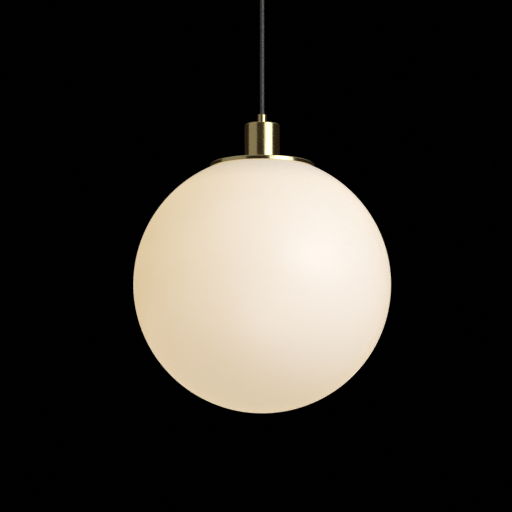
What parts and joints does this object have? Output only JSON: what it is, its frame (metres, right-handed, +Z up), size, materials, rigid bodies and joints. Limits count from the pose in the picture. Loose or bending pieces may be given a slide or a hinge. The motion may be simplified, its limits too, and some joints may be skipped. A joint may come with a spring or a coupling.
{
  "type": "pendant ceiling light",
  "caption": "Pendant ceiling light with a round opal glass globe on a brass gallery plate and cup, hung on a short black cord from a brass ceiling canopy.",
  "frame": {"origin": "middle of the ceiling bracket's top face, where it meets the ceiling", "axes": "+Z up, out of the ceiling face; +X along the bracket, towards one canopy screw"},
  "size_m": [0.3, 0.3, 0.5536],
  "materials": {
    "brass": "brushed and lacquered, satin, warm gold",
    "brass_small": "plain turned brass",
    "zinc_steel": "zinc plated",
    "spring_steel": "rolled, bright",
    "opal_glass": "opal, satin, lit from inside",
    "cord_sheath": "smooth black flexible sheath",
    "live_core": "brown core insulation",
    "neutral_core": "blue core insulation",
    "black_plastic": "moulded, heat resistant",
    "white_plastic": "moulded, smooth",
    "porcelain": "glazed porcelain",
    "silicone": "soft translucent silicone",
    "lamp_metal": "nickel plated shell",
    "board_white": "white solder mask on aluminium",
    "lamp_diffuser": "frosted diffuser"
  },
  "bodies": {
    "ceiling": {"ceiling_bracket": "zinc_steel", "canopy_screw_right": "brass", "canopy_screw_left": "brass", "terminal_block": "white_plastic", "terminal_screw_1": "brass_small", "terminal_screw_2": "brass_small", "terminal_screw_3": "brass_small", "terminal_screw_4": "brass_small", "block_screw": "zinc_steel"},
    "canopy": {"canopy": "brass", "canopy_grip": "brass", "canopy_grip_screw": "zinc_steel", "canopy_washer": "zinc_steel", "canopy_nut": "zinc_steel", "cord_ceiling_tail": "cord_sheath", "live_core_ceiling": "live_core", "neutral_core_ceiling": "neutral_core"},
    "cord": {"cord": "cord_sheath"},
    "head": {"head_grip": "brass", "head_grip_screw": "zinc_steel", "cup_washer": "zinc_steel", "cup_nut": "zinc_steel", "cup": "brass", "holder_cap": "black_plastic", "holder_body": "black_plastic", "contact_carrier": "porcelain", "thread_shell": "brass_small", "centre_contact": "spring_steel", "holder_screw_live": "brass_small", "holder_screw_neutral": "brass_small", "cord_head_tail": "cord_sheath", "live_core_head": "live_core", "neutral_core_head": "neutral_core", "shade_ring": "black_plastic", "gallery_plate": "brass", "gasket": "silicone", "spring_clip_1": "spring_steel", "spring_clip_2": "spring_steel", "spring_clip_3": "spring_steel", "clip_rivet_1": "zinc_steel", "clip_rivet_2": "zinc_steel", "clip_rivet_3": "zinc_steel"},
    "globe": {"globe": "opal_glass"},
    "lamp": {"lamp_tip": "lamp_metal", "lamp_insulator": "black_plastic", "lamp_cap": "lamp_metal", "lamp_body": "white_plastic", "lamp_board": "board_white", "lamp_dome": "lamp_diffuser"}
  },
  "joints": [
    {"name": "canopy_drop", "type": "slide", "parent": "ceiling", "child": "canopy", "axis": [0, 0, -1], "range_m": [0, 0.04], "deforming": ["live_core_ceiling", "neutral_core_ceiling"]},
    {"name": "pendant_swing", "type": "hinge", "parent": "canopy", "child": "cord", "pos_m": [0, 0, -0.042], "axis": [0, 1, 0], "range_deg": [-30, 30], "deforming": ["cord"]},
    {"name": "head_tilt", "type": "hinge", "parent": "cord", "child": "head", "pos_m": [0, 0, -0.202], "axis": [1, 0, 0], "range_deg": [-12, 12], "deforming": ["cord"]},
    {"name": "globe_drop", "type": "slide", "parent": "head", "child": "globe", "axis": [0, 0, -1], "range_m": [0, 0.15], "deforming": ["spring_clip_1", "spring_clip_2", "spring_clip_3"]},
    {"name": "lamp_withdraw", "type": "slide", "parent": "head", "child": "lamp", "axis": [0, 0, -1], "range_m": [0, 0.07], "deforming": ["centre_contact"]}
  ]
}
